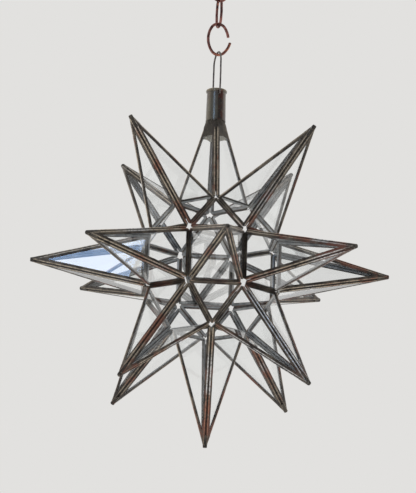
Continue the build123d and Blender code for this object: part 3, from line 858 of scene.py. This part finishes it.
for vert in bm.verts:
    vert.co += ripple(vert.co, 3 * mm, 0.18 * mm)
new_piece(bm, "neck_fillets", skirt_metal, "star", ["neck_solder"], crease=80)


# ---- Bail ----
# Blackened 2.2 mm wire, bent by hand to a narrow hoop. Its ends turn in through the tube's holes.

class Wire:
    """A round wire that is bent on the XY plane, from its start. Its sizes are in mm."""

    def __init__(self, thickness, start, heading):
        self.bm = bmesh.new()
        self.place = Vector((*start, 0)) * mm
        self.heading = Vector((*heading, 0))
        stand = Matrix.Translation(self.place) @ self.heading.to_track_quat("Z", "Y").to_matrix().to_4x4()
        bmesh.ops.create_circle(self.bm, segments=16, radius=thickness / 2 * mm, matrix=stand)
        self.end = self.bm.verts[:] + self.bm.edges[:]

    def pull(self, length, **move):
        step = 1.3 * mm
        steps = max(2, round(length / step))
        if "dvec" in move:
            move["dvec"] = move["dvec"] / steps
        self.end = bmesh.ops.spin(self.bm, geom=self.end, axis=(0, 0, 1), steps=steps, **move)["geom_last"]

    def run(self, length):
        """Goes straight on."""
        self.pull(length * mm, cent=(0, 0, 0), angle=0, dvec=self.heading * length * mm)
        self.place += self.heading * length * mm

    def bend(self, centre, degrees):
        """Turns about a centre, anticlockwise."""
        centre = Vector((*centre, 0)) * mm
        turn = Matrix.Rotation(math.radians(degrees), 3, "Z")
        angle = math.radians(degrees)
        self.pull((self.place - centre).length * angle, cent=centre, angle=angle)
        self.place = centre + turn @ (self.place - centre)
        self.heading = turn @ self.heading

    def piece(self, name, metal, body, slot, node, height, turn, true_below=-100):
        """Closes the wire, stands it up at a height over the star's middle, and turns it.

        The wire is left true below the height true_below over its own middle, and uneven above it.
        """
        bmesh.ops.remove_doubles(self.bm, verts=self.bm.verts, dist=0.01 * mm)
        caps = bmesh.ops.holes_fill(self.bm, edges=[e for e in self.bm.edges if e.is_boundary])["faces"]
        bmesh.ops.recalc_face_normals(self.bm, faces=self.bm.faces)
        if caps:
            bmesh.ops.bevel(self.bm, geom=list({e for cap in caps for e in cap.edges}), offset=0.3 * mm,
                            offset_type="OFFSET", segments=2, profile=0.5, affect="EDGES", material=-1)
        for vert in self.bm.verts:
            bent = min(1, max(0, (vert.co.y / mm - true_below) / 7))
            vert.co += bent * (ripple(vert.co, 11 * mm, 0.16 * mm) + ripple(vert.co, 3 * mm, 0.05 * mm))
        self.bm.transform(Matrix.Translation(star_middle + Vector((0, 0, height * mm)))
                          @ Matrix.Rotation(math.radians(turn), 4, "Z")
                          @ Matrix.Rotation(math.radians(90), 4, "X"))
        new_piece(self.bm, name, metal, body, [node], crease=40)


def drawn_wire(name, dark, bright, wear_and_highlight, metallic):
    """Wire whose colour was turned by heat and handling, with small hammer flats."""
    metal = Finish(bpy.data.materials.new(name))
    place = metal.node("TexCoord", output="Object")
    patches = metal.node("TexNoise", {"Vector": place, "Scale": 130.0, "Detail": 4.0, "Roughness": 0.6})
    blush = metal.node("TexNoise", {"Vector": place, "Scale": 48.0, "Detail": 2.0})
    flats = metal.node("TexVoronoi", {"Vector": place, "Scale": 260.0}, feature="SMOOTH_F1")
    skin = patches.ramp(0.36, 0.62).colours(dark, bright)
    # The blush is worn metal. On the copper its bright orange is partly a painted highlight.
    skin = (blush.ramp(0.54, 0.68) * patches.ramp(0.4, 0.6)).colours(skin, wear_and_highlight)
    rough = 0.3 + 0.22 * patches
    dents = metal.node("Bump", {"Height": flats + patches * 0.6, "Strength": 0.45, "Distance": 0.0006})
    return metal.show(metal.node("BsdfPrincipled", {
        "Base Color": skin, "Roughness": rough, "Metallic": metallic, "Normal": dents}))


bail_height = 229.02
reach, bend_radius, arch, inside = 15.2, 1.9, 44.8, 9.262
hoop = Wire(2.2, (inside, 0), (1, 0))
hoop.run(reach - bend_radius - inside)
hoop.bend((reach - bend_radius, bend_radius), 90)
hoop.run(arch - bend_radius)
hoop.bend((0, arch), 180)
hoop.run(arch - bend_radius)
hoop.bend((bend_radius - reach, bend_radius), 90)
hoop.run(reach - bend_radius - inside)
dark_wire = drawn_wire("dark_wire", colour(72, 66, 64), colour(118, 110, 106), colour(122, 98, 84), 0.6)
hoop.piece("wire_bail", dark_wire, "bail", "dark_wire", "bail", bail_height, bail_turn + 90,
           true_below=2)


# ---- Open ring ----
# 3.7 mm copper wire, browned, bent to an oval and never closed: its lower end springs out.

def oval(half_width, half_length, end_radius):
    """The radius of an oval's side arcs, and the angle where they meet its end arcs."""
    end_centre = half_length - end_radius
    side_radius = (half_width**2 + end_centre**2 - end_radius**2) / (2 * (half_width - end_radius))
    return side_radius, math.degrees(math.atan2(end_centre, side_radius - half_width))


def unit(degrees):
    return Vector((math.cos(math.radians(degrees)), math.sin(math.radians(degrees))))


half_width, half_length, end_radius = 13.75, 21.3, 10.5
side_radius, join = oval(half_width, half_length, end_radius)
side_centre, end_centre = side_radius - half_width, half_length - end_radius
gap_from, gap_to = -2.8, 4.2
gap_top = math.degrees(math.asin(gap_to / side_radius))
sprung = -join - 14
sprung_centre = Vector((0, -end_centre)) - unit(sprung) * (side_radius - end_radius)
sprung_end = math.degrees(math.asin((gap_from - sprung_centre.y) / side_radius))
start = Vector((-side_centre, 0)) + unit(gap_top) * side_radius
oval_ring = Wire(3.7, start, unit(gap_top + 90))
oval_ring.bend((-side_centre, 0), join - gap_top)
oval_ring.bend((0, end_centre), 180 - 2 * join)
oval_ring.bend((side_centre, 0), 2 * join)
oval_ring.bend((0, -end_centre), 180 + sprung - join)
oval_ring.bend(sprung_centre, sprung_end - sprung)
copper_wire = drawn_wire("copper_wire", colour(82, 51, 48), colour(166, 112, 102),
                         colour(226, 142, 108), 0.8)
oval_ring.piece("open_oval_ring", copper_wire, "open_ring", "copper_wire", "ring", 307.07, bail_turn)


# ---- Chain links ----
# Closed ovals of 3.5 mm copper wire, each hung square to the next. Their butt joints are brazed.

half_width, half_length, end_radius = 10.25, 19.75, 9.0
side_radius, join = oval(half_width, half_length, end_radius)
side_centre, end_centre = side_radius - half_width, half_length - end_radius
for name, node, body, height, turn in (
        ("lower_chain_link", "link_1", "lower_link", 344.22, bail_turn + 90),
        ("top_chain_link", "link_2", "top_link", 379.92, bail_turn)):
    start = Vector((-side_centre, 0)) + unit(-join) * side_radius
    chain_link = Wire(3.5, start, unit(90 - join))
    chain_link.bend((-side_centre, 0), 2 * join)
    chain_link.bend((0, end_centre), 180 - 2 * join)
    chain_link.bend((side_centre, 0), 2 * join)
    chain_link.bend((0, -end_centre), 180 - 2 * join)
    chain_link.piece(name, copper_wire, body, "copper_wire", node, height, turn)
